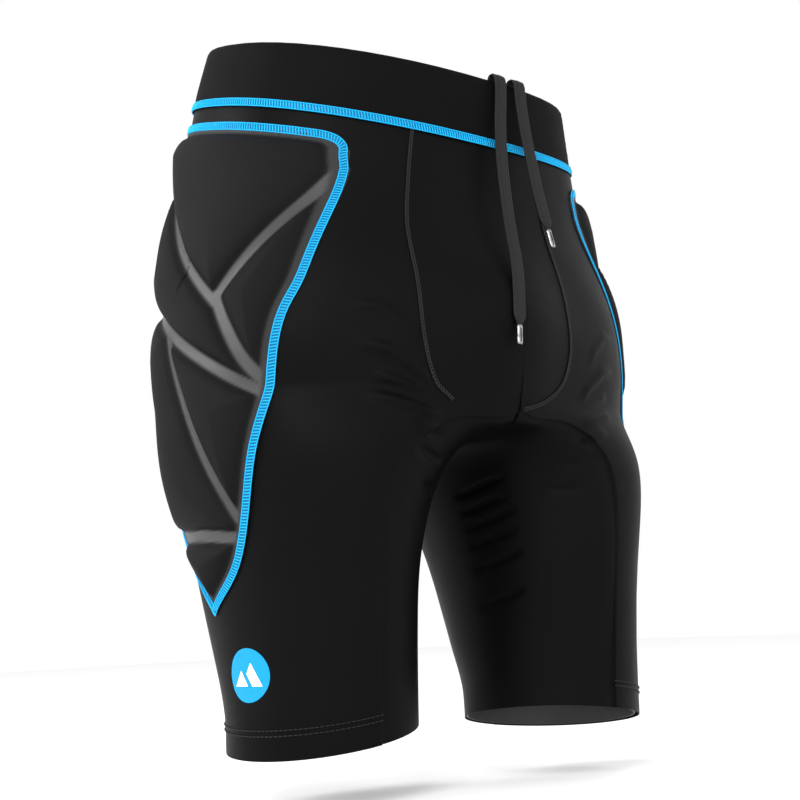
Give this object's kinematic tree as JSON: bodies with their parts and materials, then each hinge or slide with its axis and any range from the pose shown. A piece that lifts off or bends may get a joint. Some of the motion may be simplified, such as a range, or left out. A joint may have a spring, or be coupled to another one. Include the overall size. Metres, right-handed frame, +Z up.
{
  "type": "padded impact shorts",
  "caption": "Close-fitting stretch shorts with segmented foam pads over the hips and thighs, an elastic waistband and a drawcord.",
  "frame": {"origin": "centre of the waist opening at the waistband's top edge", "axes": "+Z up when worn, -Y to the wearer's front, +X to the wearer's left"},
  "size_m": [0.4011, 0.2757, 0.5412],
  "materials": {
    "badge_print": "printed",
    "band_fabric": "matte knit",
    "black_thread": "thread",
    "blue_thread": "thread",
    "cord": "braided",
    "elastic": "ribbed",
    "foam_cover": "matte knit over foam",
    "gripper": "matte",
    "pad_sheet": "semi gloss",
    "steel_tip": "polished",
    "stretch_fabric": "satin knit"
  },
  "bodies": {
    "hips": {"crotch_gusset": "stretch_fabric", "drawcord_eyelets": "band_fabric", "drawcord_fold_left": "cord", "drawcord_fold_right": "cord", "drawcord_run": "cord", "left_front_panel": "stretch_fabric", "left_hip_pad_backing": "stretch_fabric", "left_hip_pad_border": "blue_thread", "left_hip_pad_membrane": "pad_sheet", "left_pad_foam_front": "foam_cover", "left_pad_foam_rear": "foam_cover", "left_pad_foam_top": "foam_cover", "left_pouch_seam": "black_thread", "left_seat_panel": "stretch_fabric", "pouch_panel": "stretch_fabric", "right_front_panel": "stretch_fabric", "right_hip_pad_backing": "stretch_fabric", "right_hip_pad_border": "blue_thread", "right_hip_pad_membrane": "pad_sheet", "right_pad_foam_front": "foam_cover", "right_pad_foam_rear": "foam_cover", "right_pad_foam_top": "foam_cover", "right_pouch_seam": "black_thread", "right_seat_panel": "stretch_fabric", "waist_cover_seam": "blue_thread", "waist_elastic_lower": "elastic", "waist_elastic_upper": "elastic", "waist_facing": "band_fabric", "waistband_fabric": "band_fabric"},
    "right_leg": {"right_hem_cuff": "gripper", "right_hem_stitching": "black_thread", "right_inner_thigh_panel": "stretch_fabric", "right_inseam": "black_thread", "right_leg_pad_backing": "stretch_fabric", "right_leg_pad_border": "blue_thread", "right_leg_pad_membrane": "pad_sheet", "right_leg_panel": "stretch_fabric", "right_pad_foam_lower_front": "foam_cover", "right_pad_foam_lower_rear": "foam_cover", "right_pad_foam_tip": "foam_cover", "thigh_badge": "badge_print"},
    "left_leg": {"left_hem_cuff": "gripper", "left_hem_stitching": "black_thread", "left_inner_thigh_panel": "stretch_fabric", "left_inseam": "black_thread", "left_leg_pad_backing": "stretch_fabric", "left_leg_pad_border": "blue_thread", "left_leg_pad_membrane": "pad_sheet", "left_leg_panel": "stretch_fabric", "left_pad_foam_lower_front": "foam_cover", "left_pad_foam_lower_rear": "foam_cover", "left_pad_foam_tip": "foam_cover"},
    "drawcord_right": {"drawcord_aglet_right": "steel_tip", "drawcord_end_right": "cord"},
    "drawcord_left": {"drawcord_aglet_left": "steel_tip", "drawcord_end_left": "cord"}
  },
  "joints": [
    {"name": "right_hip", "type": "hinge", "parent": "hips", "child": "right_leg", "pos_m": [-0.1, -0.015, -0.165], "axis": [-1, 0, 0], "range_deg": [-10, 30]},
    {"name": "left_hip", "type": "hinge", "parent": "hips", "child": "left_leg", "pos_m": [0.1, -0.015, -0.165], "axis": [-1, 0, 0], "range_deg": [-10, 30]},
    {"name": "right_cord_swing", "type": "hinge", "parent": "hips", "child": "drawcord_right", "pos_m": [0.011, -0.1165, -0.044], "axis": [-1, 0, 0], "range_deg": [0, 60]},
    {"name": "left_cord_swing", "type": "hinge", "parent": "hips", "child": "drawcord_left", "pos_m": [0.03, -0.1165, -0.044], "axis": [-1, 0, 0], "range_deg": [0, 60]}
  ]
}
